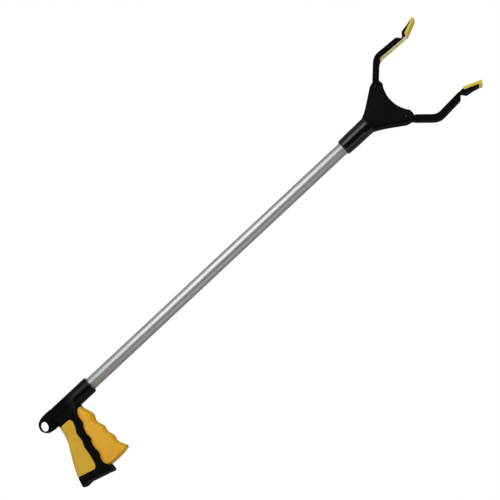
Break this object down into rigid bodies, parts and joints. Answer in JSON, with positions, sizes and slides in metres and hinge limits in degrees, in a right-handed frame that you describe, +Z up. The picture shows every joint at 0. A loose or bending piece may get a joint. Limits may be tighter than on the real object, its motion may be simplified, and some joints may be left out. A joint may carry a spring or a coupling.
{
  "type": "reacher grabber",
  "caption": "Long-handled pick-up tool: a pistol-grip handle with a squeeze trigger, a straight tube, and a flared head whose cranked jaws close on rubber tip pads.",
  "frame": {"origin": "middle of the flat sole under the grip's foot", "axes": "+X along the tube from the handle to the jaws, +Z up away from the trigger side, +Y across the tool to its left"},
  "size_m": [0.8093, 0.0264, 0.1895],
  "materials": {
    "tube_aluminium": "satin anodised",
    "black_plastic": "semi-gloss moulded",
    "grip_rubber": "matte soft touch",
    "trigger_plastic": "semi-gloss moulded",
    "pad_rubber": "matte",
    "steel": "plain",
    "white_nylon": "matte"
  },
  "bodies": {
    "frame": {"main_tube": "tube_aluminium", "rod_guide_rear": "white_nylon", "rod_guide_front": "white_nylon", "handle_shell_right": "black_plastic", "handle_shell_left": "black_plastic", "grip_panel_right": "grip_rubber", "grip_panel_left": "grip_rubber", "handle_screw_front": "steel", "handle_screw_rear": "steel", "handle_screw_grip": "steel", "handle_screw_heel": "steel", "handle_screw_toe": "steel", "trigger_pin": "steel", "return_spring": "steel", "head_shell_right": "black_plastic", "head_shell_left": "black_plastic", "head_screw_neck": "steel", "head_screw_upper": "steel", "head_screw_lower": "steel", "head_screw_front": "steel", "jaw_pivot_pin_upper": "steel", "jaw_pivot_pin_lower": "steel"},
    "trigger": {"trigger": "trigger_plastic"},
    "rod": {"draw_bar": "white_nylon", "draw_pin": "steel", "pull_rod": "steel", "rod_pin_rear": "steel", "rod_pin_front": "steel", "crosshead": "white_nylon", "crosshead_pin_upper": "steel", "crosshead_pin_lower": "steel"},
    "jaw_upper": {"jaw_arm_upper": "black_plastic", "jaw_liner_upper": "pad_rubber"},
    "jaw_lower": {"jaw_arm_lower": "black_plastic", "jaw_liner_lower": "pad_rubber"},
    "tip_upper": {"tip_backing_upper": "black_plastic", "jaw_pad_upper": "pad_rubber"},
    "tip_lower": {"tip_backing_lower": "black_plastic", "jaw_pad_lower": "pad_rubber"}
  },
  "joints": [
    {"name": "trigger_hinge", "type": "hinge", "parent": "frame", "child": "trigger", "pos_m": [0.034, 0, 0.1167], "axis": [0, 1, 0], "range_deg": [0, 20], "stiffness_Nm_per_rad": 0.6, "springref_deg": -20.05},
    {"name": "rod_slide", "type": "slide", "parent": "frame", "child": "rod", "axis": [-1, 0, 0], "range_m": [0, 0.0092], "deforming": ["return_spring"]},
    {"name": "jaw_upper_hinge", "type": "hinge", "parent": "frame", "child": "jaw_upper", "pos_m": [0.6695, 0, 0.1437], "axis": [0, 1, 0], "range_deg": [0, 33.6]},
    {"name": "jaw_lower_hinge", "type": "hinge", "parent": "frame", "child": "jaw_lower", "pos_m": [0.6695, 0, 0.0787], "axis": [0, -1, 0], "range_deg": [0, 33.6]},
    {"name": "tip_upper_flex", "type": "hinge", "parent": "jaw_upper", "child": "tip_upper", "pos_m": [0.748, 0, 0.1709], "axis": [0, -1, 0], "range_deg": [0, 12], "stiffness_Nm_per_rad": 0.2},
    {"name": "tip_lower_flex", "type": "hinge", "parent": "jaw_lower", "child": "tip_lower", "pos_m": [0.748, 0, 0.0515], "axis": [0, 1, 0], "range_deg": [0, 12], "stiffness_Nm_per_rad": 0.2}
  ],
  "couplings": [
    {"joint": "rod_slide", "follows": "trigger_hinge", "m_per_rad": 0.026342},
    {"joint": "jaw_upper_hinge", "follows": "trigger_hinge", "ratio": 1.68},
    {"joint": "jaw_lower_hinge", "follows": "trigger_hinge", "ratio": 1.68}
  ]
}
